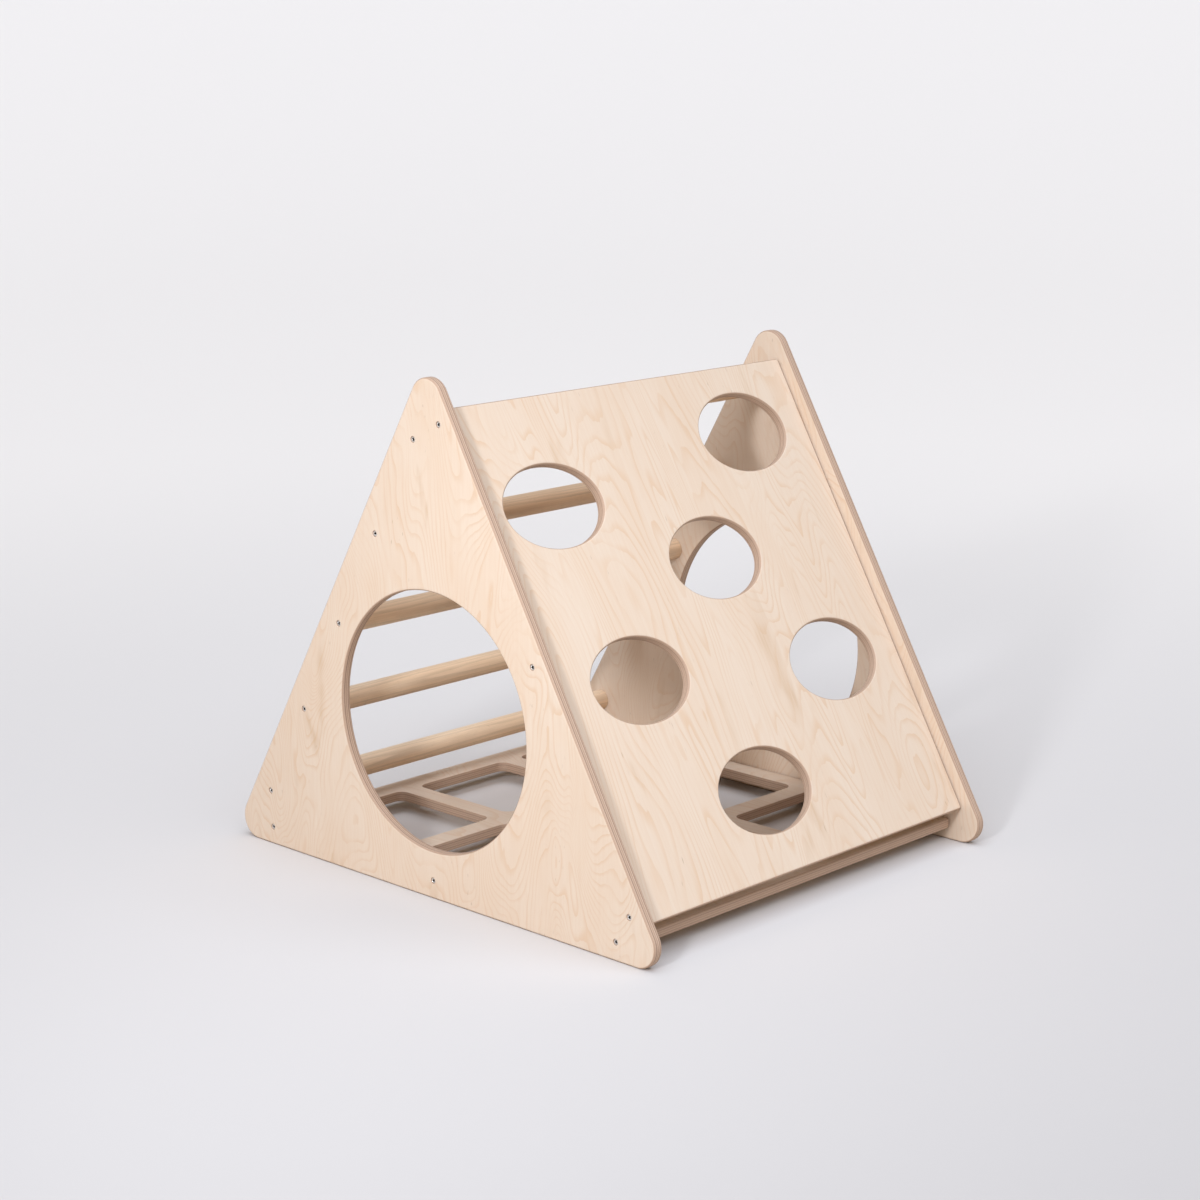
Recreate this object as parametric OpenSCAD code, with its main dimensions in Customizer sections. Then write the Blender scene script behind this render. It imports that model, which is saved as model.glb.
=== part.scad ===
// Toddler climbing triangle. Two triangular plywood side panels stand on the floor and hold
// five round rungs on one slope, a climbing board with oval holds on the other slope, and a
// grid-shaped base panel just above the floor. Screws go through the side panels into the
// end grain of every cross piece.
// Origin: centre of the footprint on the floor. +X is the climbing-board side, +Y runs along
// the rungs towards the right side panel, and +Z is up.

/* [Side panels] */
// Side of the equilateral triangle that the outline follows, measured to its sharp corners
tri_side = 850; // [820:5:900]
// Radius of the three rounded corners
corner_r = 30; // [20:1:40]
// Width across the outer faces of the two side panels
frame_w = 700; // [620:10:760]
// Diameter of the round crawl-through opening, centred in the triangle
opening_d = 357; // [300:1:370]

/* [Plywood] */
// Thickness of every plywood panel
ply_t = 15; // [12:1:18]
// Radius of the rounded-over panel edges
edge_r = 3; // [1:0.5:4]
// Radius of the climbing board's and the base panel's corners
inset_corner_r = 5; // [4.5:0.5:10]

/* [Climbing board] */
// Length of the board down the slope
board_l = 710; // [660:5:720]
// Depth of the board's face below the side panels' sloping edges
board_recess = 17; // [12:1:24]
// Width of an oval hold, across the slope
hold_w = 178; // [150:1:190]
// Height of an oval hold, along the slope
hold_h = 118; // [100:1:130]
// Radius of an oval hold's two ends
hold_end_r = 46; // [40:1:48]

/* [Rungs] */
// Diameter of a rung
rung_d = 32; // [28:1:36]
// Spacing of the rungs down the slope
rung_pitch = 157; // [140:1:165]
// Depth of a rung's axis below the side panels' sloping edges
rung_inset = 34; // [28:1:40]

/* [Base panel] */
// Length of the base panel from its rung edge to its board edge
base_l = 710; // [660:5:720]
// Height of the base panel's underside above the floor
base_z = 18; // [12:1:24]
// Width of the base panel's two end rails, one by the board and one by the lowest rung
end_rail = 40; // [30:1:48]
// Width of the base panel's rails along the side panels
side_rail = 36; // [28:1:44]
// Width of the base panel's inner rails
inner_rail = 34; // [24:1:40]
// Length of the middle row of cut-outs
mid_cut_l = 182; // [170:1:195]
// Corner radius of the cut-outs
cut_r = 14; // [8:1:20]

/* [Screws] */
// Diameter of a screw's head
head_d = 8.8; // [8:0.1:9.5]
// Diameter of a screw's shank
shank_d = 4.5; // [4:0.1:5]
// Length of a screw
screw_l = 50; // [40:1:60]
// Distance of the outer screws from the middle one on a board or base panel
screw_pitch = 337; // [320:1:340]

/* [Hidden] */
$fn = 96;
cut = 1;
corner_proud = 0.1;
slope = 60;
tri_h = tri_side * sin(slope);
inner_w = frame_w - 2 * ply_t;
pilot_l = screw_l - ply_t;
tip_l = 5;
head_rim = 0.6;
head_cone = (head_d - shank_d) / 2;
recess_span = 4.4;
recess_slot = 1.1;
recess_depth = 1.9;
rung_count = 5;
slope_mid = tri_side / 2;
board_mid_w = board_recess + ply_t / 2;
base_mid_z = base_z + ply_t / 2;
// Centres of the oval holds: [across the slope, down the slope] from the board's centre
hold_spots = [[-213, -200], [198, -254], [44, -84], [-182, 53], [195, 96], [-37, 241]];
birch = [0.93, 0.84, 0.71];
beech = [0.83, 0.70, 0.54];
zinc = [0.68, 0.69, 0.71];

// ---- Where things sit -------------------------------------------------------------------

// Distance down the slope from the sharp apex to rung number i
function rung_down(i) = slope_mid + (i - (rung_count + 1) / 2) * rung_pitch;

// Distance from the middle to screw number i of a row of three
function screw_off(i) = (i - 2) * screw_pitch;

// A point of the board's slope as [x, z], from its distance down the slope and its depth
function slope_point(down, depth) = [
  down * cos(slope) - depth * sin(slope),
  tri_h - down * sin(slope) - depth * cos(slope)
];

function rung_point(i) = [-slope_point(rung_down(i), rung_inset)[0],
                          slope_point(rung_down(i), rung_inset)[1]];
function board_screw_point(i) = slope_point(slope_mid + screw_off(i), board_mid_w);
function base_screw_point(i) = [screw_off(i), base_mid_z];

// Local X runs down the board's slope, local Y along the rungs, local Z out of the slope
module on_board_slope() {
  translate([0, 0, tri_h]) rotate([0, slope, 0]) children();
}

// ---- Rounded plates ---------------------------------------------------------------------

function unit(v) = v / norm(v);

// Centre of the corner arc of radius r at point b, between its neighbours a and c
function arc_centre(a, b, c, r) =
  let (u = unit(a - b), v = unit(c - b), half = acos(u * v) / 2)
  b + unit(u + v) * r / sin(half);

// Centres of all corner arcs of a convex outline, given anticlockwise
function arc_centres(pts, r) = [
  for (i = [0 : len(pts) - 1])
    arc_centre(pts[(i + len(pts) - 1) % len(pts)], pts[i], pts[(i + 1) % len(pts)], r)
];

// What rounding over takes from a rim: the corner outside a quarter circle about the origin
module rim_waste(er) {
  difference() {
    translate([0, -er - cut]) square([er + cut, er + cut]);
    circle(er);
  }
}

// Section of a plate out to its rounded-over edge at x = r, starting at x = -inner
module plate_section(inner, r, er, t) {
  difference() {
    translate([-inner, 0]) square([inner + r, t]);
    translate([r - er, er]) rim_waste(er);
    translate([r - er, t - er]) mirror([0, 1]) rim_waste(er);
  }
}

// A plate with sharp corners: what is common to one wide slab along each edge
module sharp_plate(centres, r, er, t) {
  n = len(centres);
  reach = 2 * tri_side;
  intersection_for (i = [0 : n - 1]) {
    step = centres[(i + 1) % n] - centres[i];
    translate(centres[i]) rotate([0, 0, atan2(step[1], step[0]) - 90]) translate([0, reach, 0])
      rotate([90, 0, 0]) linear_extrude(2 * reach) plate_section(reach, r, er, t);
  }
}

// What the rounded corners leave: the plate's middle, and a disc at each corner that stands
// a little proud of the edges it meets, so that it crosses them cleanly
module corner_limit(centres, r, er, t) {
  n = len(centres);
  side = [for (i = [0 : n - 1]) unit(centres[(i + 1) % n] - centres[i])];
  out = [for (s = side) [s[1], -s[0]]];
  translate([0, 0, -cut]) linear_extrude(t + 2 * cut)
    polygon([for (i = [0 : n - 1], p = [[0, 0.5], [0, 1.5], [1, 1.5], [1, 0.5]])
      centres[(i + p[0]) % n] + r * p[1] * out[i]]);
  for (c = centres) translate(c) rotate_extrude() plate_section(0, r + corner_proud, er, t);
}

// A plate on the XY plane with rounded corners and rounded-over edges
module soft_plate(pts, r, er, t) {
  centres = arc_centres(pts, r);
  intersection() {
    sharp_plate(centres, r, er, t);
    corner_limit(centres, r, er, t);
  }
}

function rectangle(l, w) = [[-l / 2, -w / 2], [l / 2, -w / 2], [l / 2, w / 2], [-l / 2, w / 2]];

// ---- Side panels ------------------------------------------------------------------------

// What a round hole with rounded-over rims takes out of a plate
module soft_bore(r, er, t) {
  rotate_extrude() difference() {
    translate([0, -cut]) square([r + er, t + 2 * cut]);
    translate([r, er]) square([2 * er, t - 2 * er]);
    for (z = [er, t - er]) translate([r + er, z]) circle(er);
  }
}

// The countersunk hole of a screw: mouth on the XY plane, axis down local -Z
module screw_hole() {
  translate([0, 0, -ply_t - cut]) cylinder(h = ply_t + 2 * cut, d = shank_d);
  translate([0, 0, -head_rim]) cylinder(h = head_rim + cut, d = head_d);
  translate([0, 0, -head_rim - head_cone])
    cylinder(h = head_cone, d1 = shank_d, d2 = head_d);
}

// Side panel with its outer face on y = 0 and its body towards +Y
module side_panel() {
  color(birch) difference() {
    translate([0, ply_t, 0]) rotate([90, 0, 0]) difference() {
      soft_plate([[-tri_side / 2, 0], [tri_side / 2, 0], [0, tri_h]], corner_r, edge_r, ply_t);
      translate([0, tri_h / 3, 0]) soft_bore(opening_d / 2, edge_r, ply_t);
    }
    for (i = [1 : rung_count]) panel_hole(rung_point(i));
    for (i = [1 : 3]) {
      panel_hole(board_screw_point(i));
      panel_hole(base_screw_point(i));
    }
  }
}

module panel_hole(p) {
  translate([p[0], 0, p[1]]) rotate([90, 0, 0]) screw_hole();
}

module side_panel_left() {
  translate([0, -frame_w / 2, 0]) side_panel();
}

module side_panel_right() {
  mirror([0, 1, 0]) side_panel_left();
}

// ---- Climbing board ---------------------------------------------------------------------

// Oval of four tangent arcs, a and b being its half width and half height
module oval(a, b, end_r) {
  flat_r = (pow(a - end_r, 2) + b * b - end_r * end_r) / (2 * (b - end_r));
  meet_x = flat_r * (a - end_r) / (flat_r - end_r);
  for (s = [-1, 1]) translate([s * (a - end_r), 0]) circle(end_r);
  intersection() {
    square([2 * meet_x, 2 * b + 2], center = true);
    translate([0, b - flat_r]) circle(flat_r, $fn = 3 * $fn);
    translate([0, flat_r - b]) circle(flat_r, $fn = 3 * $fn);
  }
}

module climbing_board() {
  color(birch) difference() {
    on_board_slope() translate([slope_mid, 0, -board_recess - ply_t]) difference() {
      soft_plate(rectangle(board_l, inner_w), inset_corner_r, edge_r, ply_t);
      for (spot = hold_spots)
        translate([spot[1], spot[0], -cut]) rotate(90)
          linear_extrude(ply_t + 2 * cut) oval(hold_w / 2, hold_h / 2, hold_end_r);
    }
    for (i = [1 : 3]) pilot_holes(board_screw_point(i));
  }
}

// A pair of blind pilot holes, one in each end of a cross piece
module pilot_holes(p) {
  for (s = [-1, 1]) translate([p[0], s * inner_w / 2, p[1]])
    rotate([90, 0, 0]) cylinder(h = 2 * pilot_l, d = shank_d, center = true);
}

// ---- Base panel -------------------------------------------------------------------------

module rounded_rectangle(l, w, r) {
  square([l, w - 2 * r], center = true);
  square([l - 2 * r, w], center = true);
  for (x = [-1, 1], y = [-1, 1]) translate([x * (l / 2 - r), y * (w / 2 - r)]) circle(r);
}

module base_panel() {
  end_cut_l = (base_l - mid_cut_l) / 2 - end_rail - inner_rail;
  cut_w = (inner_w - 2 * side_rail - 2 * inner_rail) / 3;
  color(birch) difference() {
    translate([0, 0, base_z]) difference() {
      soft_plate(rectangle(base_l, inner_w), inset_corner_r, edge_r, ply_t);
      for (i = [-1 : 1], j = [-1 : 1]) {
        cut_l = i == 0 ? mid_cut_l : end_cut_l;
        cut_x = i * ((mid_cut_l + end_cut_l) / 2 + inner_rail);
        translate([cut_x, j * (cut_w + inner_rail), -cut]) linear_extrude(ply_t + 2 * cut)
          rounded_rectangle(cut_l, cut_w, cut_r);
      }
    }
    for (i = [1 : 3]) pilot_holes(base_screw_point(i));
  }
}

// ---- Rungs ------------------------------------------------------------------------------

module rung(i) {
  p = rung_point(i);
  color(beech) difference() {
    translate([p[0], 0, p[1]]) rotate([90, 0, 0]) cylinder(h = inner_w, d = rung_d, center = true);
    pilot_holes(p);
  }
}

// ---- Screws -----------------------------------------------------------------------------

// Countersunk screw with a cross recess: head face on the XY plane, tip down local -Z
module screw() {
  straight_l = screw_l - head_rim - head_cone - tip_l;
  color(zinc) difference() {
    rotate_extrude() polygon([
      [0, 0], [head_d / 2, 0], [head_d / 2, -head_rim], [shank_d / 2, -head_rim - head_cone],
      [shank_d / 2, -head_rim - head_cone - straight_l], [0, -screw_l]
    ]);
    for (turn = [0, 90]) rotate([0, 0, turn + 45])
      translate([-recess_span / 2, -recess_slot / 2, -recess_depth])
        cube([recess_span, recess_slot, recess_depth + cut]);
  }
}

// Screw in the left side panel at [x, z], or in the right one when side is 1
module panel_screw(p, side) {
  translate([p[0], side * frame_w / 2, p[1]]) rotate([side < 0 ? 90 : -90, 0, 0]) screw();
}

// ---- The assembly -----------------------------------------------------------------------

side_panel_left();
side_panel_right();
climbing_board();
base_panel();
rung(1);  // rung_1
rung(2);  // rung_2
rung(3);  // rung_3
rung(4);  // rung_4
rung(5);  // rung_5
panel_screw(rung_point(1), -1);  // rung_screw_left_1
panel_screw(rung_point(2), -1);  // rung_screw_left_2
panel_screw(rung_point(3), -1);  // rung_screw_left_3
panel_screw(rung_point(4), -1);  // rung_screw_left_4
panel_screw(rung_point(5), -1);  // rung_screw_left_5
panel_screw(rung_point(1), 1);  // rung_screw_right_1
panel_screw(rung_point(2), 1);  // rung_screw_right_2
panel_screw(rung_point(3), 1);  // rung_screw_right_3
panel_screw(rung_point(4), 1);  // rung_screw_right_4
panel_screw(rung_point(5), 1);  // rung_screw_right_5
panel_screw(board_screw_point(1), -1);  // board_screw_left_1
panel_screw(board_screw_point(2), -1);  // board_screw_left_2
panel_screw(board_screw_point(3), -1);  // board_screw_left_3
panel_screw(board_screw_point(1), 1);  // board_screw_right_1
panel_screw(board_screw_point(2), 1);  // board_screw_right_2
panel_screw(board_screw_point(3), 1);  // board_screw_right_3
panel_screw(base_screw_point(1), -1);  // base_screw_left_1
panel_screw(base_screw_point(2), -1);  // base_screw_left_2
panel_screw(base_screw_point(3), -1);  // base_screw_left_3
panel_screw(base_screw_point(1), 1);  // base_screw_right_1
panel_screw(base_screw_point(2), 1);  // base_screw_right_2
panel_screw(base_screw_point(3), 1);  // base_screw_right_3
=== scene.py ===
import bpy
import numpy as np
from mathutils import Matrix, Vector
from mathutils.geometry import delaunay_2d_cdt


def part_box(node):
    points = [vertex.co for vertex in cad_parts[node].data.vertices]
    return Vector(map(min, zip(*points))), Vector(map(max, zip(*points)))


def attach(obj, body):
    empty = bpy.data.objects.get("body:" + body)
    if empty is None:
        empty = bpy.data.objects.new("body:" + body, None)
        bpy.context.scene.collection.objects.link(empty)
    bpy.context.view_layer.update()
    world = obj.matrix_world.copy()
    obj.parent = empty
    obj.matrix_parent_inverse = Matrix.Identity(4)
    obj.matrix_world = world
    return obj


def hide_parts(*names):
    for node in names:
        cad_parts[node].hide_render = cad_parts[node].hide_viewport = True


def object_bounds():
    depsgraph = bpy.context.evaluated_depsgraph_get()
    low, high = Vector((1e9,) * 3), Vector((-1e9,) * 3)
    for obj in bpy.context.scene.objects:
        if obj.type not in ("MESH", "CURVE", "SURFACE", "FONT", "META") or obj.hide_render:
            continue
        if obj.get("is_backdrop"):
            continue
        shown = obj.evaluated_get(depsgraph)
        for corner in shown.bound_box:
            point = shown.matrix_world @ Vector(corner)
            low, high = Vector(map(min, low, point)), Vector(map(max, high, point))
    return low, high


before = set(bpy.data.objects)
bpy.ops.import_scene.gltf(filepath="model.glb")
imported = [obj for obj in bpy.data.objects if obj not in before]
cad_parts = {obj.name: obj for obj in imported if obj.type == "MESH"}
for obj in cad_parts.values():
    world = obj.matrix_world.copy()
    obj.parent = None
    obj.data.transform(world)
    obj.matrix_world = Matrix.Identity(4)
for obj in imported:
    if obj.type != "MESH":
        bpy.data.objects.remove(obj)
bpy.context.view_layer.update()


# ---- Camera ------------------------------------------------------------------------------
# A long lens, a little above the frame's top and looking slightly down, past the corner
# between the climbing board and the left side panel.

camera = bpy.data.objects.new("camera", bpy.data.cameras.new("camera"))
camera.data.lens = 76.32
camera.data.sensor_width = 36
camera.data.clip_end = 200
camera.location = (2.4035, -2.5477, 1.1648)
camera.rotation_euler = np.radians((90 - 13.028, 0, 43.607))
bpy.context.scene.collection.objects.link(camera)
bpy.context.scene.camera = camera
bpy.context.scene.view_settings.view_transform = "Standard"


# ---- Side panels -------------------------------------------------------------------------
# Two triangles of birch plywood, cut on a router with a round crawl-through opening. Every
# edge is rounded over and sanded, and the face grain stands upright. Eleven countersunk
# holes in each take the screws that hold the rungs, the board and the base.

MM = 0.001
PLY = 15 * MM
EDGE_ROUND = 3 * MM
FLAT_GUARD = 0.4 * MM


def rounded_loop(corners, radius, corner_steps, side_steps):
    """Anticlockwise loop round a convex outline, and its outward directions: each corner is an
    arc about the point one radius inside both its sides, and the sides between are straight."""
    ahead = np.roll(corners, -1, axis=0) - corners
    heading = np.arctan2(ahead[:, 1], ahead[:, 0])
    before = np.roll(heading, 1)
    turn = (heading - before) % (2 * np.pi)
    out_before = np.stack([np.sin(before), -np.cos(before)], axis=1)
    out_after = np.stack([np.sin(heading), -np.cos(heading)], axis=1)
    spread = 1 + np.sum(out_before * out_after, axis=1, keepdims=True)
    centres = corners - radius * (out_before + out_after) / spread
    angle = before[:, None] - np.pi / 2 + turn[:, None] * np.linspace(0, 1, corner_steps)
    arc_out = np.stack([np.cos(angle), np.sin(angle)], axis=2)
    arcs = centres[:, None] + radius * arc_out
    along = np.linspace(0, 1, side_steps + 2)[1:-1, None]
    start, end = arcs[:, -1], np.roll(arcs, -1, axis=0)[:, 0]
    sides = start[:, None] + along * (end - start)[:, None]
    side_out = np.broadcast_to(out_after[:, None], sides.shape)
    points = np.concatenate([arcs, sides], axis=1).reshape(-1, 2)
    return points, np.concatenate([arc_out, side_out], axis=1).reshape(-1, 2)


def oval_loop(centre, half_x, half_y, steps):
    """Clockwise ellipse (half_x cos a, half_y sin a) about a centre, and its directions into
    the hole: minus the ellipse's gradient (cos a / half_x, sin a / half_y), at unit length."""
    angle = -np.linspace(0, 2 * np.pi, steps, endpoint=False)
    points = centre + np.stack([half_x * np.cos(angle), half_y * np.sin(angle)], axis=1)
    inward = -np.stack([np.cos(angle) / half_x, np.sin(angle) / half_y], axis=1)
    return points, inward / np.linalg.norm(inward, axis=1, keepdims=True)


def round_over(thickness, radius, steps=8):
    """Section of a rounded-over rim from the front face to the back, as pairs of inset and
    height: two quarter circles, r(1 - sin a) and r(1 - cos a), and a flat rim between them. A
    narrow guard ring on each face keeps the flat of the face flat up to the rounding."""
    angle = np.linspace(0, np.pi / 2, steps + 1)
    near, far = radius * (1 - np.sin(angle)), radius * (1 - np.cos(angle))
    guard = [radius + FLAT_GUARD]
    inset = np.concatenate([guard, near, far, guard])
    height = np.concatenate([[thickness], thickness - far, near, [0]])
    return np.stack([inset, height], axis=1)


def rim_grid(loop, section):
    """The surface round one edge: each point of the loop moved in by each inset of the section,
    against its outward direction, and set at that height."""
    points, out = loop
    plan = points[None] - section[:, 0, None, None] * out[None]
    height = np.broadcast_to(section[:, 1, None, None], plan.shape[:2] + (1,))
    return np.concatenate([plan, height], axis=2)


def grid_faces(rows, columns, first):
    """Four-cornered faces of a grid whose columns close on themselves, numbered from first."""
    row, column = np.meshgrid(np.arange(rows - 1), np.arange(columns), indexing="ij")
    ahead = (column + 1) % columns
    corners = [row * columns + column, (row + 1) * columns + column,
               (row + 1) * columns + ahead, row * columns + ahead]
    return first + np.stack(corners, axis=-1).reshape(-1, 4)


def flat_faces(rings, numbers, upward):
    """Triangles between an outer ring and the rings of the holes in it, all in one plane. A
    triangle whose corners are all on one hole's ring lies in that hole, and is left out."""
    plan = np.concatenate(rings)
    ring_of = np.repeat(np.arange(len(rings)), [len(ring) for ring in rings])
    starts = np.cumsum([0] + [len(ring) for ring in rings])
    edges = np.concatenate([np.stack([np.arange(a, b), np.roll(np.arange(a, b), -1)], axis=1)
                            for a, b in zip(starts[:-1], starts[1:])])
    found = delaunay_2d_cdt(plan.tolist(), edges.tolist(), [], 1, 1e-9)
    source = np.array([origin[0] for origin in found[3]])
    triangles = source[np.array(found[2])]
    ring = ring_of[triangles]
    in_hole = (ring[:, 0] > 0) & (ring[:, 0] == ring[:, 1]) & (ring[:, 0] == ring[:, 2])
    triangles = triangles[~in_hole]
    one, two, three = (plan[triangles[:, k]] for k in range(3))
    area = np.cross(two - one, three - one)
    wrong = (area > 0) != upward
    triangles[wrong] = triangles[wrong][:, ::-1]
    return np.concatenate(numbers)[triangles]


def smooth_mesh(name, vertices, faces):
    """A smooth-shaded mesh object with its place in its vertices."""
    mesh = bpy.data.meshes.new(name)
    mesh.from_pydata(vertices.tolist(), [], faces)
    mesh.polygons.foreach_set("use_smooth", np.ones(len(faces), bool))
    mesh.update()
    piece = bpy.data.objects.new(name, mesh)
    bpy.context.scene.collection.objects.link(piece)
    return piece


def plate(name, rims, origin, axes, grain, sheet_spot):
    """A flat panel: rim surfaces round its outline and its holes, and flat faces between them.
    Its vertices are origin + x * axes[0] + y * axes[1] + height * axes[2]. The attribute sheet
    holds the distance along the face grain, across it, and through the plies, in metres."""
    grids = [rim_grid(loop, section) for loop, section in rims]
    firsts = np.cumsum([0] + [grid.shape[0] * grid.shape[1] for grid in grids])
    faces = []
    for grid, first in zip(grids, firsts):
        faces += grid_faces(grid.shape[0], grid.shape[1], first).tolist()
    for row, upward in ((0, True), (-1, False)):
        numbers = [first + (row % grid.shape[0]) * grid.shape[1] + np.arange(grid.shape[1])
                   for grid, first in zip(grids, firsts)]
        faces += flat_faces([grid[row, :, :2] for grid in grids], numbers, upward).tolist()
    local = np.concatenate([grid.reshape(-1, 3) for grid in grids])
    piece = smooth_mesh(name, origin + local @ np.array(axes), faces)
    sheet = local[:, [grain, 1 - grain, 2]] + np.append(sheet_spot, 0)
    attribute = piece.data.attributes.new("sheet", "FLOAT_VECTOR", "POINT")
    attribute.data.foreach_set("vector", sheet.astype(np.float32).ravel())
    return piece


def place(tree, kind, inputs=(), **settings):
    """Adds a node. inputs pairs a socket's name or number with a value or another's output."""
    made = tree.nodes.new(kind)
    for name, value in settings.items():
        setattr(made, name, value)
    for socket, value in dict(inputs).items():
        if isinstance(value, bpy.types.NodeSocket):
            tree.links.new(value, made.inputs[socket])
        else:
            made.inputs[socket].default_value = value
    return made


def math(tree, operation, *values):
    """The output of one Math node."""
    return place(tree, "ShaderNodeMath", enumerate(values), operation=operation).outputs[0]


def fade(tree, value, low, high, to_low=0.0, to_high=1.0):
    """A value eased from to_low at low to to_high at high, and held outside them."""
    inputs = {"Value": value, "From Min": low, "From Max": high,
              "To Min": to_low, "To Max": to_high}
    return place(tree, "ShaderNodeMapRange", inputs, interpolation_type="SMOOTHSTEP").outputs[0]


def stretched_noise(tree, vector, scale, detail=2.0, roughness=0.5, distortion=0.0):
    """Noise whose grain is stretched by a scale per axis, in cycles per metre."""
    scaled = place(tree, "ShaderNodeVectorMath", {0: vector, 1: scale}, operation="MULTIPLY")
    inputs = {"Vector": scaled.outputs[0], "Scale": 1.0, "Detail": detail,
              "Roughness": roughness, "Distortion": distortion}
    return place(tree, "ShaderNodeTexNoise", inputs).outputs[0]


def tint(tree, amount, colour_a, colour_b):
    """Colour a towards colour b by an amount."""
    inputs = {0: amount, 6: colour_a, 7: colour_b}
    return place(tree, "ShaderNodeMix", inputs, data_type="RGBA").outputs[2]


def new_group(name, inputs, outputs):
    """An empty shader node group with its sockets, its input node and its output node."""
    group = bpy.data.node_groups.new(name, "ShaderNodeTree")
    for socket, kind in inputs:
        group.interface.new_socket(socket, in_out="INPUT", socket_type="NodeSocket" + kind)
    for socket, kind in outputs:
        group.interface.new_socket(socket, in_out="OUTPUT", socket_type="NodeSocket" + kind)
    return group, group.nodes.new("NodeGroupInput"), group.nodes.new("NodeGroupOutput")


def finish_group(group, sink, values):
    """Links each named value to the group's output of that name."""
    for socket, value in values.items():
        group.links.new(value, sink.inputs[socket])
    return group


def rotary_figure():
    """The figure of rotary-cut veneer: growth lines are contours of a slow, stretched noise,
    with fine fibres, broad clouds, mineral streaks and sparse short flecks."""
    group, source, sink = new_group(
        "rotary figure", [("Sheet", "Vector"), ("Lines", "Float")],
        [("Growth", "Float"), ("Fibre", "Float"), ("Cloud", "Float"), ("Streak", "Float"),
         ("Fleck", "Float")])
    sheet = source.outputs["Sheet"]
    hills = stretched_noise(group, sheet, (2.4, 6.2, 0), 2.0, 0.42, 0.5)
    wander = stretched_noise(group, sheet, (16, 48, 0), 2.5, 0.55)
    climb = math(group, "MULTIPLY_ADD", hills, source.outputs["Lines"],
                 math(group, "MULTIPLY", wander, 0.9))
    ring = math(group, "FRACT", climb)
    rise = fade(group, ring, 0.55, 0.96)
    drop = fade(group, ring, 0.965, 1.0, 1.0, 0.0)
    patchy = fade(group, stretched_noise(group, sheet, (6, 18, 0), 2.0), 0.32, 0.62, 0.25, 1.0)
    growth = math(group, "MULTIPLY", math(group, "MULTIPLY", rise, drop), patchy)
    fine = stretched_noise(group, sheet, (30, 800, 60), 2.0, 0.6)
    coarse = stretched_noise(group, sheet, (9, 210, 0), 2.0, 0.5, 0.2)
    fibre = math(group, "MULTIPLY", math(group, "ADD", fine, coarse), 0.5)
    cloud = stretched_noise(group, sheet, (5, 13, 0), 4.0, 0.6)
    stain = stretched_noise(group, sheet, (5.5, 15, 0), 3.0, 0.6, 0.4)
    streak = math(group, "MULTIPLY", fade(group, stain, 0.60, 0.74),
                  fade(group, coarse, 0.25, 0.6, 0.4, 1.0))
    speck = stretched_noise(group, sheet, (85, 300, 0), 1.0, 0.4)
    where = fade(group, stretched_noise(group, sheet, (9, 17, 0), 1.0), 0.52, 0.66)
    fleck = math(group, "MULTIPLY", fade(group, speck, 0.69, 0.80), where)
    return finish_group(group, sink, {"Growth": growth, "Fibre": fibre, "Cloud": cloud,
                                      "Streak": streak, "Fleck": fleck})


def ply_stack():
    """The layers of plywood by height: which plies run across, the glue lines between them,
    everything deeper than the two face plies, a tone per ply, and the rim where sanding cuts
    into the face plies. The tone is lowest in the two plies a third of the way in, which are
    the darkest veneers."""
    group, source, sink = new_group(
        "ply stack", [("Sheet", "Vector"), ("Thickness", "Float"), ("Plies", "Float")],
        [("Across", "Float"), ("Glue", "Float"), ("Inside", "Float"), ("Tone", "Float"),
         ("Rim", "Float")])
    height = place(group, "ShaderNodeSeparateXYZ", {0: source.outputs["Sheet"]}).outputs[2]
    waver = stretched_noise(group, source.outputs["Sheet"], (18, 18, 0), 2.0)
    level = math(group, "DIVIDE", height, source.outputs["Thickness"])
    sanded = math(group, "SUBTRACT", source.outputs["Plies"], 1.4)
    count = math(group, "MULTIPLY_ADD", level, sanded,
                 math(group, "MULTIPLY_ADD", waver, 0.3, 0.55))
    number = math(group, "FLOOR", count)
    across = math(group, "PINGPONG", number, 1.0)
    inside_ply = math(group, "FRACT", count)
    to_line = math(group, "ABSOLUTE", math(group, "SUBTRACT", inside_ply, 0.5))
    glue = fade(group, to_line, 0.40, 0.49)
    last = math(group, "SUBTRACT", source.outputs["Plies"], 0.98)
    below = fade(group, count, last, math(group, "ADD", last, 0.04), 1.0, 0.0)
    inside = math(group, "MULTIPLY", fade(group, count, 0.94, 0.98), below)
    numbered = place(group, "ShaderNodeTexWhiteNoise", {"W": number}, noise_dimensions="1D")
    off_middle = math(group, "ABSOLUTE", math(group, "SUBTRACT", level, 0.5))
    off_dark = math(group, "ABSOLUTE", math(group, "SUBTRACT", off_middle, 0.2))
    tone = math(group, "MULTIPLY_ADD", numbered.outputs[0], 0.35,
                fade(group, off_dark, 0.05, 0.10, 0.0, 0.65))
    rim = fade(group, off_middle, 0.47, 0.499, 0.6, 0.0)
    return finish_group(group, sink, {"Across": across, "Glue": glue, "Inside": inside,
                                      "Tone": tone, "Rim": rim})


FIGURE = rotary_figure()
STACK = ply_stack()
PLIES = 11

# The face veneer and its marks
CREAM = (0.707, 0.559, 0.42, 1)
TAN = (0.64, 0.422, 0.258, 1)
STAIN = (0.54, 0.34, 0.187, 1)
FLECK = (0.37, 0.23, 0.13, 1)
SANDED_RIM = (0.50, 0.34, 0.225, 1)

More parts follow.
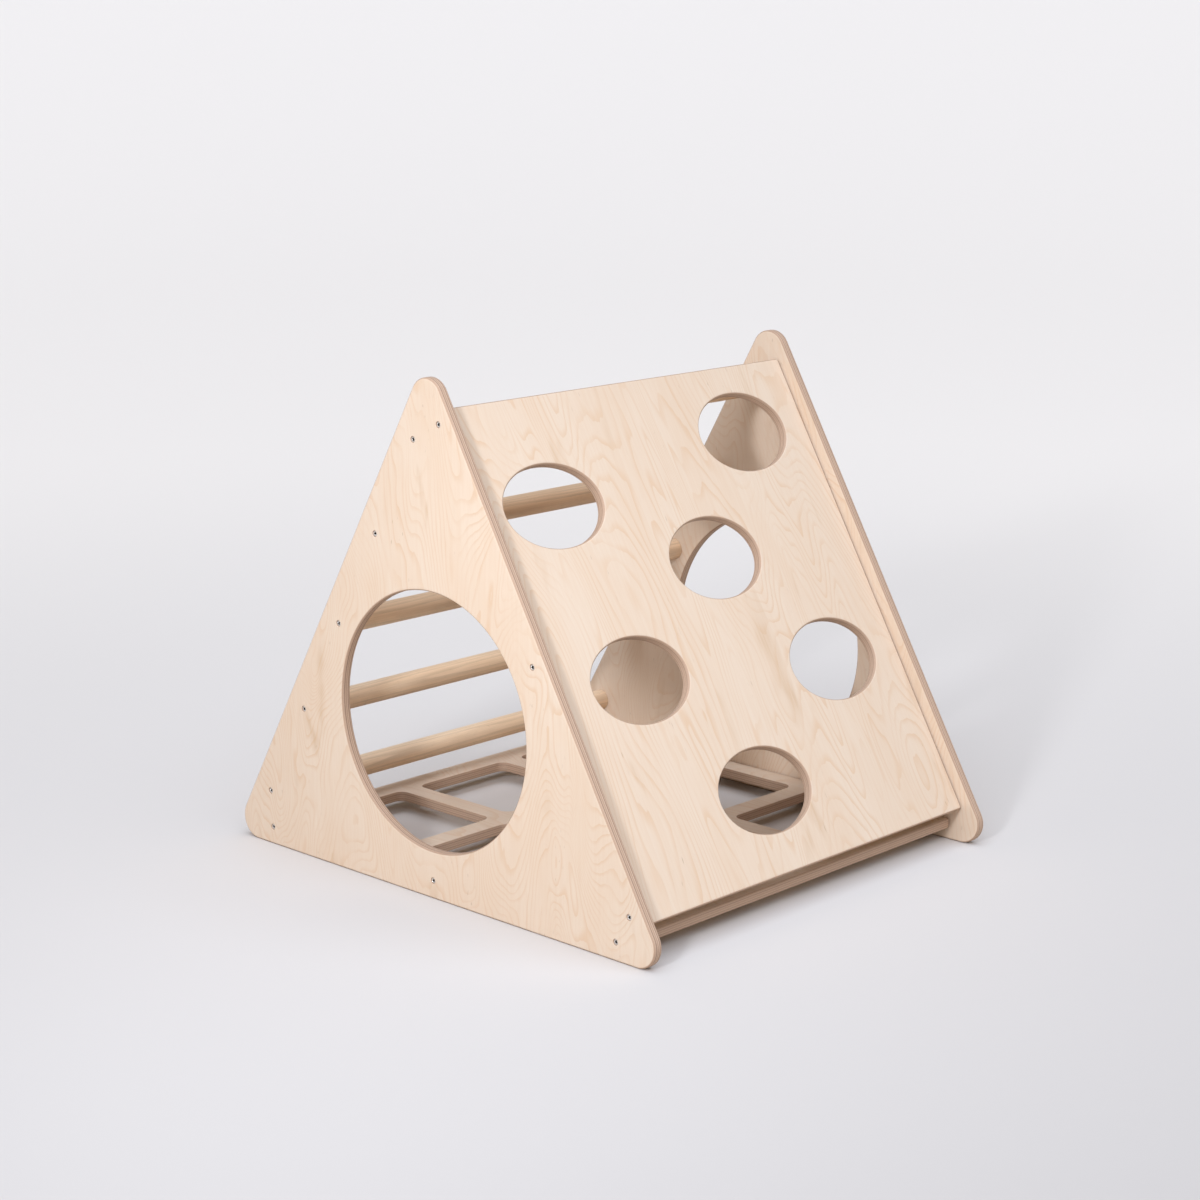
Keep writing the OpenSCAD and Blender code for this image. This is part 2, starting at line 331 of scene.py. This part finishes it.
# The plies on a cut edge, at the low and high end of their tones
LONG_PLY = ((0.66, 0.478, 0.339, 1), (0.54, 0.365, 0.248, 1))
CROSS_PLY = ((0.28, 0.16, 0.10, 1), (0.483, 0.313, 0.204, 1))
EVEN_PLY = (0.47, 0.31, 0.205, 1)
GLUE = (0.175, 0.11, 0.07, 1)
PORES = (0.31, 0.21, 0.155, 1)


def birch_plywood(name, lines, drawn_out, evenness):
    """Pale birch plywood under a thin clear satin lacquer, with its plies showing wherever the
    surface dips below the face veneer. lines sets how close the growth lines are, drawn_out
    below 1 pulls the whole figure out along the grain, and evenness brings the plies' tones
    together."""
    material = bpy.data.materials.new(name)
    material.use_nodes = True
    tree = material.node_tree
    shader = tree.nodes["Principled BSDF"]
    sheet = place(tree, "ShaderNodeAttribute", attribute_name="sheet").outputs["Vector"]
    stretched = place(tree, "ShaderNodeVectorMath", {0: sheet, 1: (drawn_out, 1, 1)},
                      operation="MULTIPLY").outputs[0]
    figure = place(tree, "ShaderNodeGroup", node_tree=FIGURE)
    tree.links.new(stretched, figure.inputs["Sheet"])
    figure.inputs["Lines"].default_value = lines
    stack = place(tree, "ShaderNodeGroup", node_tree=STACK)
    tree.links.new(sheet, stack.inputs["Sheet"])
    stack.inputs["Thickness"].default_value = PLY
    stack.inputs["Plies"].default_value = PLIES

    growth = math(tree, "MULTIPLY", figure.outputs["Growth"], 0.6)
    face = tint(tree, growth, CREAM, TAN)
    face = tint(tree, fade(tree, figure.outputs["Cloud"], 0.3, 0.7, 0.0, 0.22), face, TAN)
    face = tint(tree, fade(tree, figure.outputs["Fibre"], 0.35, 0.65, 0.20, 0.0), face, TAN)
    face = tint(tree, math(tree, "MULTIPLY", figure.outputs["Streak"], 0.6), face, STAIN)
    face = tint(tree, math(tree, "MULTIPLY", figure.outputs["Fleck"], 0.5), face, FLECK)
    face = tint(tree, stack.outputs["Rim"], face, SANDED_RIM)

    tone = stack.outputs["Tone"]
    layer = tint(tree, stack.outputs["Across"], tint(tree, tone, *LONG_PLY),
                 tint(tree, tone, *CROSS_PLY))
    layer = tint(tree, evenness, layer, EVEN_PLY)
    glue = math(tree, "MULTIPLY", stack.outputs["Glue"],
                math(tree, "SUBTRACT", 0.42, math(tree, "MULTIPLY", tone, 0.36)))
    layer = tint(tree, glue, layer, GLUE)
    pores = stretched_noise(tree, sheet, (700, 700, 500), 3.0, 0.6)
    layer = tint(tree, fade(tree, pores, 0.35, 0.7, 0.2, 0.0), layer, PORES)
    tree.links.new(tint(tree, stack.outputs["Inside"], face, layer),
                   shader.inputs["Base Color"])

    satin = fade(tree, figure.outputs["Fibre"], 0.3, 0.7, 0.50, 0.42)
    rough = math(tree, "MULTIPLY_ADD", stack.outputs["Inside"], 0.2, satin)
    tree.links.new(rough, shader.inputs["Roughness"])
    shader.inputs["Specular IOR Level"].default_value = 0.35
    relief = math(tree, "MULTIPLY_ADD", figure.outputs["Growth"], -0.6, figure.outputs["Fibre"])
    grooves = math(tree, "MULTIPLY", stack.outputs["Glue"], stack.outputs["Inside"])
    relief = math(tree, "SUBTRACT", relief, grooves)
    bump = place(tree, "ShaderNodeBump", {"Height": relief, "Strength": 0.25,
                                          "Distance": 0.00012})
    tree.links.new(bump.outputs[0], shader.inputs["Normal"])
    return material


def fit(piece, material, node):
    """Gives a finished piece its material and its body, and hides the CAD node it stands for."""
    piece.data.materials.append(material)
    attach(piece, "root")
    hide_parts(node)


def middle(node):
    """The middle of a CAD node's box."""
    low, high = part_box(node)
    return np.array((low + high) / 2)


CORNER = 30 * MM
HEAD_HOLE = 4.4 * MM
SHANK_HOLE = 2.25 * MM
OPENING = 0.357 / 2
OPENING_STEPS = 180
HEAD_STEPS = 32
side_low, side_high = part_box("side_panel_left")
side_length = side_high.x - side_low.x + 2 * CORNER * (3 ** 0.5 - 1)
side_corners = side_length * np.array([[-0.5, 0], [0.5, 0], [0, 3 ** 0.5 / 2]])
opening_centre = np.array([0, side_length / 12 ** 0.5])

# Countersink section: a small broken edge, the head's rim, the cone, and the shank's hole
narrow = SHANK_HOLE - HEAD_HOLE
countersink = np.array([
    [0.6 * MM, PLY], [0.15 * MM, PLY], [0, PLY - 0.12 * MM], [0, PLY - 0.6 * MM],
    [narrow, PLY - 0.6 * MM + narrow], [narrow, 0.2 * MM], [narrow + 0.2 * MM, 0],
    [narrow + 0.8 * MM, 0]])
screw_rows = {"rung": 5, "board": 3, "base": 3}
birch_side = birch_plywood("birch side", lines=54, drawn_out=1.0, evenness=0.0)

for side, away, spot in (("left", -1, (0.3, 0.2)), ("right", 1, (2.9, 1.7))):
    node = "side_panel_" + side
    axes = [(-away, 0, 0), (0, 0, 1), (0, away, 0)]
    origin = np.array([0, away * (abs(middle(node)[1]) - PLY / 2), 0])
    outline = rounded_loop(side_corners, CORNER, corner_steps=25, side_steps=40)
    opening = oval_loop(opening_centre, OPENING, OPENING, OPENING_STEPS)
    rims = [(outline, round_over(PLY, EDGE_ROUND)), (opening, round_over(PLY, EDGE_ROUND))]
    for row, count in screw_rows.items():
        for number in range(1, count + 1):
            x, _, z = middle(f"{row}_screw_{side}_{number}")
            hole = oval_loop(np.array([-away * x, z]), HEAD_HOLE, HEAD_HOLE, HEAD_STEPS)
            rims.append((hole, countersink))
    panel = plate(node + "_visual", rims, origin, axes, grain=1, sheet_spot=spot)
    fit(panel, birch_side, node)


# ---- Climbing board ----------------------------------------------------------------------
# One sheet of the same plywood on the other slope, with its grain running up it. Six oval
# holds are cut through it and rounded over. Screws through the side panels enter its edges.

SLOPE = np.radians(60)
BOARD_LENGTH = 0.710
SHEET_WIDTH = 0.668
INSET_CORNER = 0.005
HOLD_HALF_WIDTH = 0.089
HOLD_HALF_HEIGHT = 0.059
HOLD_STEPS = 144
# Centres of the holds: down the slope and across it, from the board's middle
HOLD_SPOTS = [(-0.200, -0.213), (-0.254, 0.198), (-0.084, 0.044),
              (0.053, -0.182), (0.096, 0.195), (0.241, -0.037)]


def rectangle(length, width):
    """Corners of a rectangle about the origin, anticlockwise."""
    return np.array([[-length, -width], [length, -width], [length, width], [-length, width]]) / 2


down = np.array([np.cos(SLOPE), 0, -np.sin(SLOPE)])
out_of_slope = np.array([np.sin(SLOPE), 0, np.cos(SLOPE)])
outline = rounded_loop(rectangle(BOARD_LENGTH, SHEET_WIDTH), INSET_CORNER,
                       corner_steps=12, side_steps=60)
rims = [(outline, round_over(PLY, EDGE_ROUND))]
for spot in HOLD_SPOTS:
    hold = oval_loop(np.array(spot), HOLD_HALF_HEIGHT, HOLD_HALF_WIDTH, HOLD_STEPS)
    rims.append((hold, round_over(PLY, EDGE_ROUND)))
board = plate("climbing_board_visual", rims, middle("climbing_board") - out_of_slope * PLY / 2,
              [down, (0, 1, 0), out_of_slope], grain=0, sheet_spot=(1.4, 0.9))
birch_board = birch_plywood("birch board", lines=46, drawn_out=0.6, evenness=0.5)
fit(board, birch_board, "climbing_board")


# ---- Base panel --------------------------------------------------------------------------
# A sheet of the same plywood just above the floor, cut into a three by three grid. It ties
# the two side panels together along their bottom edges.

BASE_LENGTH = 0.710
END_RAIL = 0.040
SIDE_RAIL = 0.036
INNER_RAIL = 0.034
MIDDLE_CUT = 0.182
CUT_CORNER = 0.014
CUT_ROUND = 1.5 * MM


def cut_loop(length, width, radius, centre):
    """Clockwise loop round a rounded rectangular hole, and its directions into the hole."""
    points, out = rounded_loop(rectangle(length, width), radius, corner_steps=10, side_steps=14)
    return points[::-1] + centre, -out[::-1]


end_cut = (BASE_LENGTH - MIDDLE_CUT) / 2 - END_RAIL - INNER_RAIL
cut_width = (SHEET_WIDTH - 2 * SIDE_RAIL - 2 * INNER_RAIL) / 3
outline = rounded_loop(rectangle(BASE_LENGTH, SHEET_WIDTH), INSET_CORNER,
                       corner_steps=12, side_steps=60)
rims = [(outline, round_over(PLY, EDGE_ROUND))]
for i in (-1, 0, 1):
    for j in (-1, 0, 1):
        length = end_cut if i else MIDDLE_CUT
        centre = np.array([i * ((MIDDLE_CUT + end_cut) / 2 + INNER_RAIL),
                           j * (cut_width + INNER_RAIL)])
        rims.append((cut_loop(length, cut_width, CUT_CORNER, centre),
                     round_over(PLY, CUT_ROUND, steps=5)))
base = plate("base_panel_visual", rims, middle("base_panel") - np.array([0, 0, PLY / 2]),
             [(1, 0, 0), (0, 1, 0), (0, 0, 1)], grain=0, sheet_spot=(3.3, 4.1))
fit(base, birch_board, "base_panel")


# ---- Rungs -------------------------------------------------------------------------------
# Five turned hardwood dowels between the side panels. Each butts against the panels' inner
# faces, has its sharp ends eased, and is bored at both ends for its screws.

RUNG_RADIUS = 0.016
RUNG_EASE = 0.8 * MM
RUNG_STEPS = 64
SHAFT_ROWS = 24
BORE_DEPTH = 0.035
DOWEL_PALE = (0.85, 0.62, 0.405, 1)
DOWEL_DEEP = (0.79, 0.545, 0.335, 1)
DOWEL_LATE = (0.435, 0.305, 0.20, 1)
DOWEL_FIBRE = (0.39, 0.26, 0.157, 1)
DOWEL_PORE = (0.26, 0.157, 0.087, 1)


def spindle_faces(rows, steps):
    """Faces of a stack of rings round an axis, closed at each end on a single point. The two
    end points are numbered after all the rings."""
    faces = grid_faces(rows, steps, 0)[:, ::-1].tolist()
    here, ahead = np.arange(steps), np.roll(np.arange(steps), -1)
    first, last = np.full(steps, rows * steps), np.full(steps, rows * steps + 1)
    end = (rows - 1) * steps
    faces += np.stack([first, ahead, here], axis=1).tolist()
    faces += np.stack([last, end + here, end + ahead], axis=1).tolist()
    return faces


def turned(name, section, origin, along, steps):
    """A closed turned piece: a section of radius and distance along the axis, carried round it.
    The section starts and ends on the axis, where all the faces meet in one point."""
    side = np.array([1, 0, 0]) if abs(along[0]) < 0.5 else np.array([0, 1, 0])
    up = np.cross(along, side)
    angle = np.linspace(0, 2 * np.pi, steps, endpoint=False)
    round_axis = np.cos(angle)[:, None] * side + np.sin(angle)[:, None] * up
    radius, distance = section[1:-1, 0], section[1:-1, 1]
    rings = radius[:, None, None] * round_axis + distance[:, None, None] * along
    poles = section[[0, -1], 1][:, None] * along
    vertices = origin + np.concatenate([rings.reshape(-1, 3), poles])
    return smooth_mesh(name, vertices, spindle_faces(len(radius), steps))


def rung_section(half_length):
    """From the bottom of one end's bore, out along it, over the eased end and along the rung,
    and the same again backwards."""
    ease = np.linspace(0, np.pi / 2, 6)
    inner = half_length - BORE_DEPTH
    bore = [[0, inner - 1.2 * MM], [SHANK_HOLE * 0.98, inner], [SHANK_HOLE, inner + 0.3 * MM],
            [SHANK_HOLE, half_length - 0.2 * MM], [SHANK_HOLE + 0.2 * MM, half_length],
            [RUNG_RADIUS - RUNG_EASE - 0.3 * MM, half_length]]
    eased = np.stack([RUNG_RADIUS - RUNG_EASE * (1 - np.sin(ease)),
                      half_length - RUNG_EASE * (1 - np.cos(ease))], axis=1)
    length = np.linspace(half_length - RUNG_EASE - 0.3 * MM, 0, SHAFT_ROWS, endpoint=False)
    shaft = np.stack([np.full(SHAFT_ROWS, RUNG_RADIUS), length], axis=1)
    half = np.concatenate([bore, eased, shaft, [[RUNG_RADIUS, 0]]])
    return np.concatenate([half, half[-2::-1] * [1, -1]])


def rung_wood():
    """Plain hardwood: growth rings are cylinders about a pith beside the rung, so they cross
    its surface as long lines and pointed arches, with fine fibres and short dark pores."""
    material = bpy.data.materials.new("rung wood")
    material.use_nodes = True
    tree = material.node_tree
    shader = tree.nodes["Principled BSDF"]
    grain = place(tree, "ShaderNodeAttribute", attribute_name="dowel").outputs["Vector"]
    sway = stretched_noise(tree, grain, (16, 2.0, 16), 2.0)
    parts = place(tree, "ShaderNodeSeparateXYZ", {0: grain})
    reach = math(tree, "SQRT", math(tree, "ADD", math(tree, "POWER", parts.outputs[0], 2.0),
                                    math(tree, "POWER", parts.outputs[2], 2.0)))
    year = math(tree, "FRACT", math(tree, "MULTIPLY_ADD", reach, 330.0,
                                    math(tree, "MULTIPLY", sway, 5.0)))
    late = math(tree, "MULTIPLY", fade(tree, year, 0.3, 0.92), fade(tree, year, 0.93, 1.0, 1, 0))
    fibre = stretched_noise(tree, grain, (800, 18, 800), 3.0, 0.6)
    cloud = stretched_noise(tree, grain, (40, 5, 40), 2.0)
    pore = stretched_noise(tree, grain, (1500, 90, 1500), 1.0)
    colour = tint(tree, fade(tree, cloud, 0.3, 0.7), DOWEL_PALE, DOWEL_DEEP)
    colour = tint(tree, math(tree, "MULTIPLY", late, 0.3), colour, DOWEL_LATE)
    colour = tint(tree, fade(tree, fibre, 0.3, 0.7, 0.18, 0.0), colour, DOWEL_FIBRE)
    colour = tint(tree, fade(tree, pore, 0.68, 0.8, 0.0, 0.35), colour, DOWEL_PORE)
    tree.links.new(colour, shader.inputs["Base Color"])
    tree.links.new(fade(tree, fibre, 0.3, 0.7, 0.55, 0.45), shader.inputs["Roughness"])
    shader.inputs["Specular IOR Level"].default_value = 0.35
    bump = place(tree, "ShaderNodeBump", {"Height": fibre, "Strength": 0.3,
                                          "Distance": 0.00015})
    tree.links.new(bump.outputs[0], shader.inputs["Normal"])
    return material


dowel_wood = rung_wood()
for number in range(1, 6):
    node = f"rung_{number}"
    low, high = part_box(node)
    rung = turned(node + "_visual", rung_section((high.y - low.y) / 2), middle(node),
                  np.array([0, 1, 0]), RUNG_STEPS)
    # The pith lies outside the rung, in another place for each, so no two rungs look alike
    local = np.array([vertex.co for vertex in rung.data.vertices]) - middle(node)
    pith = np.array([0.030 + 0.004 * number, 0.9 * number, 0.012 * (number - 3)])
    attribute = rung.data.attributes.new("dowel", "FLOAT_VECTOR", "POINT")
    attribute.data.foreach_set("vector", (local + pith).astype(np.float32).ravel())
    fit(rung, dowel_wood, node)


# ---- Screws ------------------------------------------------------------------------------
# Zinc-plated steel wood screws, driven through the side panels until their flat heads sit
# just below the face. Each has a cross recess, a countersunk head and a rolled thread.

HEAD_RADIUS = 3.75 * MM
HEAD_DEPTH = 0.9 * MM
CORE_RADIUS = 1.6 * MM
THREAD_HEIGHT = 0.62 * MM
THREAD_PITCH = 2.2 * MM
SCREW_LENGTH = 0.050
RECESS_DEPTH = 2.0 * MM
RECESS_ARM = 2.6 * MM
RECESS_WIDTH = 0.75 * MM
SCREW_STEPS = 64
ROWS_PER_TURN = 7
PLAIN_LENGTH = 6 * MM
TIP_LENGTH = 7 * MM
ZINC_DULL = (0.62, 0.575, 0.525, 1)
ZINC_BRIGHT = (0.82, 0.775, 0.71, 1)
# Near black painted into the deepest part of the recess: painted shade
RECESS_PAINTED_SHADE = (0.04, 0.033, 0.026, 1)


def ease(value, low, high):
    """0 below low, 1 above high, and 3t^2 - 2t^3 between."""
    t = np.clip((value - low) / (high - low), 0, 1)
    return t * t * (3 - 2 * t)


def screw(name, head_middle, inward, turn):
    """A screw as one surface over angle and row. The head's top rows spread from the axis and
    sink into the cross recess, the next rows go down its cone, and the shank's rows swell by a
    ridge that winds once round for each pitch."""
    angle = np.linspace(0, 2 * np.pi, SCREW_STEPS, endpoint=False)
    top_radius = HEAD_RADIUS * np.linspace(0.04, 0.93, 26)[:, None]
    east, north = top_radius * np.cos(angle - turn), top_radius * np.sin(angle - turn)
    arms = np.minimum(np.abs(east), np.abs(north))
    reach = np.maximum(np.abs(east), np.abs(north))
    cross = (1 - ease(arms, RECESS_WIDTH * 0.7, RECESS_WIDTH * 1.3))
    cross = cross * (1 - ease(reach, RECESS_ARM * 0.82, RECESS_ARM * 1.06))
    core = 1 - ease(top_radius, RECESS_WIDTH * 1.4, RECESS_WIDTH * 2.6)
    sink = RECESS_DEPTH * np.maximum(cross * (1 - 0.35 * reach / RECESS_ARM), 0.9 * core)
    dome = 0.10 * MM * (top_radius / HEAD_RADIUS) ** 2
    top = (top_radius + 0 * angle, dome + sink)
    cone_radius = np.array([0.985, 1, 1, 0.96, 0.52, 0.47])[:, None] * HEAD_RADIUS
    cone_depth = np.array([0.10, 0.18, 0.33, 0.52, 2.15, 2.6])[:, None] * MM
    cone = (cone_radius + 0 * angle, cone_depth + 0 * angle)
    turns = (SCREW_LENGTH - PLAIN_LENGTH) / THREAD_PITCH
    shank_depth = np.linspace(3.4 * MM, SCREW_LENGTH - HEAD_DEPTH - 0.4 * MM,
                              int(turns * ROWS_PER_TURN))
    to_tip = SCREW_LENGTH - HEAD_DEPTH - shank_depth[:, None]
    taper = np.clip(to_tip / TIP_LENGTH, 0.05, 1)
    phase = (shank_depth[:, None] / THREAD_PITCH - angle / (2 * np.pi)) % 1
    ridge = np.clip(1 - np.abs(phase - 0.5) / 0.28, 0, 1) ** 1.2
    starts = ease(shank_depth[:, None], 0.013, 0.016)
    plain = (1 - starts) * 0.35 * MM
    shank = (CORE_RADIUS * taper + plain + THREAD_HEIGHT * ridge * starts * taper ** 0.5,
             shank_depth[:, None] + 0 * angle)
    radius = np.concatenate([part[0] for part in (top, cone, shank)])
    depth = np.concatenate([part[1] for part in (top, cone, shank)])
    side = np.array([1, 0, 0])
    up = np.cross(inward, side)
    round_axis = np.cos(angle)[:, None] * side + np.sin(angle)[:, None] * up
    rings = radius[..., None] * round_axis + depth[..., None] * inward
    poles = np.array([[RECESS_DEPTH], [SCREW_LENGTH - HEAD_DEPTH]]) * inward
    vertices = head_middle + np.concatenate([rings.reshape(-1, 3), poles])
    piece = smooth_mesh(name, vertices, spindle_faces(len(radius), SCREW_STEPS))
    # Painted shade: 1 at the bottom of the cross recess, falling as the recess gets shallower,
    # so the material paints the metal dark there as if in shade
    recess_painted_shade = np.zeros(len(vertices))
    recess_painted_shade[:top_radius.size * SCREW_STEPS] = np.clip(sink / RECESS_DEPTH, 0, 1).ravel()
    recess_painted_shade[-2] = 1
    attribute = piece.data.attributes.new("recess", "FLOAT", "POINT")
    attribute.data.foreach_set("value", recess_painted_shade.astype(np.float32))
    return piece


def zinc_steel():
    """Bright zinc plating with a soft mottle and fine turning marks, and painted shade that
    darkens the metal deep in the recess."""
    material = bpy.data.materials.new("zinc steel")
    material.use_nodes = True
    tree = material.node_tree
    shader = tree.nodes["Principled BSDF"]
    where = place(tree, "ShaderNodeTexCoord").outputs["Object"]
    mottle = stretched_noise(tree, where, (900, 900, 900), 3.0, 0.6)
    scratch = stretched_noise(tree, where, (6000, 600, 2500), 2.0)
    colour = tint(tree, fade(tree, mottle, 0.3, 0.7), ZINC_DULL, ZINC_BRIGHT)
    depth = place(tree, "ShaderNodeAttribute", attribute_name="recess").outputs["Fac"]
    # Painted shade: the metal is painted darker where the recess sinks deeper
    colour = tint(tree, fade(tree, depth, 0.05, 0.6), colour, RECESS_PAINTED_SHADE)
    tree.links.new(colour, shader.inputs["Base Color"])
    tree.links.new(fade(tree, scratch, 0.3, 0.7, 0.22, 0.38), shader.inputs["Roughness"])
    shader.inputs["Metallic"].default_value = 1.0
    bump = place(tree, "ShaderNodeBump", {"Height": mottle, "Strength": 0.2,
                                          "Distance": 0.00005})
    tree.links.new(bump.outputs[0], shader.inputs["Normal"])
    return material


zinc = zinc_steel()
turns_at_rest = np.random.default_rng(7)
for row, count in screw_rows.items():
    for side, away in (("left", -1), ("right", 1)):
        for number in range(1, count + 1):
            node = f"{row}_screw_{side}_{number}"
            x, _, z = middle(node)
            head = np.array([x, away * (abs(side_low.y) - HEAD_DEPTH), z])
            piece = screw(node + "_visual", head, np.array([0, -away, 0]),
                          turns_at_rest.uniform(0, np.pi))
            fit(piece, zinc, node)


# ---- Floor and light ---------------------------------------------------------------------
# A plain pale studio floor, level under the frame and rising gently far away into a wide
# round cove. One soft lamp stands to the left of the camera and a broad light hangs above.

FLAT_REACH = 8
COVE_REACH = 45
COVE_HEIGHT = 13
PAINT_MIDDLE = (0.66, -0.46, 0)
# Floor paint with painted light and shade: darker near the frame, lighter far off
NEAR_FLOOR_PAINTED_SHADE = (0.615, 0.563, 0.511, 1)
FAR_FLOOR_PAINTED_LIGHT = (0.81, 0.737, 0.653, 1)
LAMP_AIM = [0, 0, 0.4]


def cove_floor():
    """A grid of angle and radius: level out to one radius, then rising with the square of how
    far out it has got."""
    level = np.linspace(0.02, FLAT_REACH, 24)
    rising = np.linspace(FLAT_REACH + 0.5, COVE_REACH, 60)
    radius = np.concatenate([level, rising])[:, None]
    angle = np.linspace(0, 2 * np.pi, 96, endpoint=False)
    rise = np.clip((radius - FLAT_REACH) / (COVE_REACH - FLAT_REACH), 0, None) ** 2
    rings = np.stack([radius * np.cos(angle), radius * np.sin(angle),
                      COVE_HEIGHT * rise + 0 * angle], axis=2)
    rows, steps = rings.shape[:2]
    vertices = np.concatenate([rings.reshape(-1, 3), [[0, 0, 0]]])
    faces = grid_faces(rows, steps, 0).tolist()
    here, ahead = np.arange(steps), np.roll(np.arange(steps), -1)
    faces += np.stack([np.full(steps, rows * steps), here, ahead], axis=1).tolist()
    return smooth_mesh("floor", vertices, faces)


def floor_paint():
    """Matt off-white with painted light: a little lighter away from the front corner of the
    frame, standing in for how the floor is lit.
    """
    material = bpy.data.materials.new("studio floor")
    material.use_nodes = True
    tree = material.node_tree
    shader = tree.nodes["Principled BSDF"]
    where = place(tree, "ShaderNodeTexCoord").outputs["Object"]
    reach = place(tree, "ShaderNodeVectorMath", {0: where, 1: PAINT_MIDDLE},
                  operation="DISTANCE").outputs["Value"]
    # Painted light: the paint fades from darker near the frame to lighter far off, standing in
    # for how the floor is lit
    paint = tint(tree, fade(tree, reach, 0.2, 4.5), NEAR_FLOOR_PAINTED_SHADE, FAR_FLOOR_PAINTED_LIGHT)
    tree.links.new(paint, shader.inputs["Base Color"])
    shader.inputs["Roughness"].default_value = 0.85
    shader.inputs["Specular IOR Level"].default_value = 0.1
    return material


floor = cove_floor()
floor.data.materials.append(floor_paint())
floor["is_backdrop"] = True

world = bpy.data.worlds.new("studio")
world.use_nodes = True
sky = world.node_tree.nodes["Background"]
sky.inputs["Color"].default_value = (1.22, 0.96, 0.72, 1)
sky.inputs["Strength"].default_value = 0.175
bpy.context.scene.world = world


def lamp(name, kind, towards, distance, energy, colour):
    """A lamp at a distance in the direction towards, facing the middle of the frame."""
    made = bpy.data.objects.new(name, bpy.data.lights.new(name, kind))
    made.data.energy = energy
    made.data.color = colour
    made.location = np.array(towards) / np.linalg.norm(towards) * distance + LAMP_AIM
    made.rotation_euler = Vector(towards).to_track_quat("Z", "Y").to_euler()
    made.visible_camera = False
    bpy.context.scene.collection.objects.link(made)
    return made.data


key = lamp("key_lamp", "AREA", towards=(0.36, -0.87, 0.34), distance=3.0, energy=5.5,
           colour=(0.90, 0.98, 1.12))
key.shape = "DISK"
key.size = 0.34
key.spread = np.radians(60)
overhead = lamp("overhead_light", "SUN", towards=(0.29, -0.20, 0.94), distance=5, energy=3.09,
                colour=(0.865, 1.005, 1.235))
overhead.angle = np.radians(80)


# ---- Sizes -------------------------------------------------------------------------------
# The box of everything shown once the visual pieces are built, leaving out the floor.

low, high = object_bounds()
